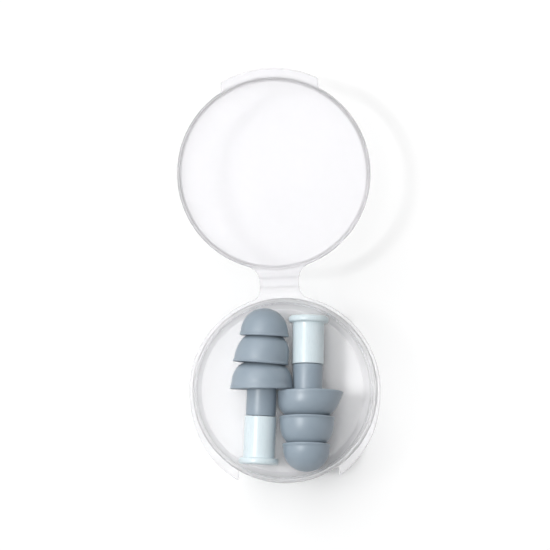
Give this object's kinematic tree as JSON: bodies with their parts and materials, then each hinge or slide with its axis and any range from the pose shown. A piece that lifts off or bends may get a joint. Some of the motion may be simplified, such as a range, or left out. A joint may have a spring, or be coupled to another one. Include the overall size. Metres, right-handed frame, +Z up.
{
  "type": "reusable ear plugs in a flip-top case",
  "caption": "Reusable flanged ear plugs with pale push handles, lying head to tail in a clear round flip-top travel case.",
  "frame": {"origin": "middle of the case base's flat underside, at its centre", "axes": "+Z up out of the case; +Y from the base towards the hinge and the opened lid; +X to the right of someone who looks along +Y"},
  "size_m": [0.0388, 0.0831, 0.0174],
  "materials": {
    "clear_case": "clear polypropylene, faintly lavender, smooth",
    "plug_tip": "blue-grey thermoplastic elastomer, satin",
    "plug_handle": "pale aqua moulded plastic, satin"
  },
  "bodies": {
    "case": {"case_base": "clear_case", "hinge_leaf_base": "clear_case"},
    "lid": {"case_lid": "clear_case", "hinge_leaf_lid": "clear_case"},
    "plug_left": {"plug_left_tip": "plug_tip", "plug_left_handle": "plug_handle"},
    "plug_right": {"plug_right_tip": "plug_tip", "plug_right_handle": "plug_handle"}
  },
  "joints": [
    {"name": "lid_hinge", "type": "hinge", "parent": "case", "child": "lid", "pos_m": [0, 0.02175, 0.01555], "axis": [1, 0, 0], "range_deg": [0, 180]},
    {"name": "plug_left_lift", "type": "slide", "parent": "case", "child": "plug_left", "axis": [0, 0, 1], "range_m": [0, 0.045]},
    {"name": "plug_right_lift", "type": "slide", "parent": "case", "child": "plug_right", "axis": [0, 0, 1], "range_m": [0, 0.045]}
  ]
}
